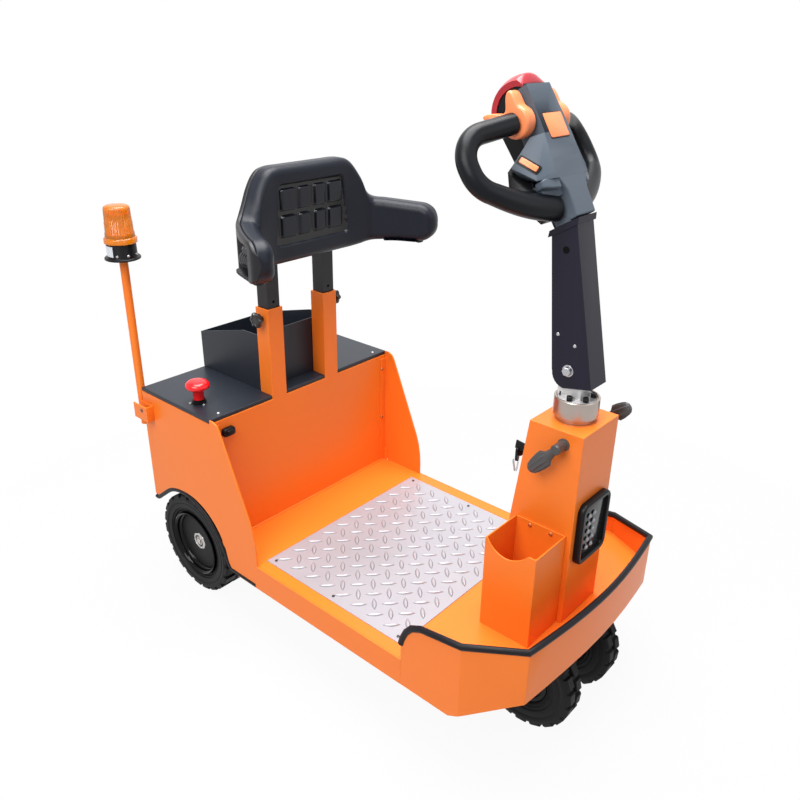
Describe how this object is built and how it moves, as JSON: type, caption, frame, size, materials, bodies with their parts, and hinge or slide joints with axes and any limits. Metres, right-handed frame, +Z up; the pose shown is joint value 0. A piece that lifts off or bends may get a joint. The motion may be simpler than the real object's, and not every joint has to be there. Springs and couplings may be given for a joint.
{
  "type": "stand-on tow tractor",
  "caption": "Stand-on electric tow tractor: battery box with sliding backrest, tread deck, steered twin drive wheels under a tilting tiller, rear tow jaw.",
  "frame": {"origin": "on the floor, on the centreline, midway between the rear axle and the drive axle", "axes": "+X the way it drives, towards the tiller; +Y to its left; +Z up"},
  "size_m": [1.244, 0.6435, 1.2801],
  "materials": {
    "orange_paint": "smooth gloss powder coat",
    "charcoal_paint": "fine satin powder coat",
    "black_paint": "satin black paint",
    "black_plastic": "moulded black plastic",
    "grey_plastic": "moulded grey plastic",
    "orange_plastic": "moulded orange plastic",
    "red_plastic": "gloss red plastic",
    "amber_lens": "ribbed clear amber plastic",
    "pad_foam": "skinned black foam",
    "edge_rubber": "black rubber edging",
    "tyre_rubber": "black tyre rubber",
    "bare_aluminium": "bright tread plate and turned ring",
    "bright_steel": "turned steel",
    "black_iron": "black painted cast iron"
  },
  "bodies": {
    "chassis": {"side_right": "orange_paint", "side_left": "orange_paint", "front_wall": "orange_paint", "rear_wall": "orange_paint", "cover": "charcoal_paint", "battery_tray": "black_paint", "battery": "black_plastic", "bin": "charcoal_paint", "deck_frame": "orange_paint", "tread_plate": "bare_aluminium", "under_rails": "black_paint", "front_tray": "orange_paint", "tray_trim": "edge_rubber", "column": "orange_paint", "basket": "orange_paint", "headlight": "black_plastic", "key_switch": "black_plastic", "clamp_levers": "black_plastic", "clamp_knobs": "black_plastic", "rear_axle": "bright_steel", "tow_hitch": "black_paint", "beacon_pole": "orange_paint", "beacon_foot": "black_plastic", "beacon_lens": "amber_lens", "stop_button": "red_plastic", "deadman_switch": "black_plastic"},
    "backrest": {"backrest_posts": "black_paint", "backrest_pad": "pad_foam", "wing_hardware": "edge_rubber"},
    "steering": {"steering_shaft": "bright_steel", "steering_ring": "bare_aluminium", "tiller_hub": "black_iron", "drive_unit": "black_iron"},
    "tiller": {"tiller_arm": "charcoal_paint", "tiller_head": "grey_plastic", "head_back": "black_plastic", "hand_loops": "black_plastic", "thumb_wheels": "orange_plastic", "belly_switch": "red_plastic"},
    "drive_wheels": {"front_tyres": "tyre_rubber", "front_hubs": "black_iron"},
    "rear_wheel_right": {"rear_tyre_right": "tyre_rubber", "rear_rim_right": "black_iron"},
    "rear_wheel_left": {"rear_tyre_left": "tyre_rubber", "rear_rim_left": "black_iron"}
  },
  "joints": [
    {"name": "backrest_height", "type": "slide", "parent": "chassis", "child": "backrest", "axis": [0, 0, 1], "range_m": [-0.06, 0.08]},
    {"name": "steering_turn", "type": "hinge", "parent": "chassis", "child": "steering", "pos_m": [0.4425, 0, 0.2], "axis": [0, 0, 1], "range_deg": [-90, 90]},
    {"name": "tiller_tilt", "type": "hinge", "parent": "steering", "child": "tiller", "pos_m": [0.4325, 0, 0.792], "axis": [0, -1, 0], "range_deg": [0, 45], "stiffness_Nm_per_rad": 20, "springref_deg": -34.38},
    {"name": "drive_roll", "type": "hinge", "parent": "steering", "child": "drive_wheels", "pos_m": [0.4425, 0, 0.1185], "axis": [0, 1, 0], "continuous": true},
    {"name": "rear_roll_right", "type": "hinge", "parent": "chassis", "child": "rear_wheel_right", "pos_m": [-0.4425, -0.249, 0.135], "axis": [0, 1, 0], "continuous": true},
    {"name": "rear_roll_left", "type": "hinge", "parent": "chassis", "child": "rear_wheel_left", "pos_m": [-0.4425, 0.249, 0.135], "axis": [0, 1, 0], "continuous": true}
  ]
}
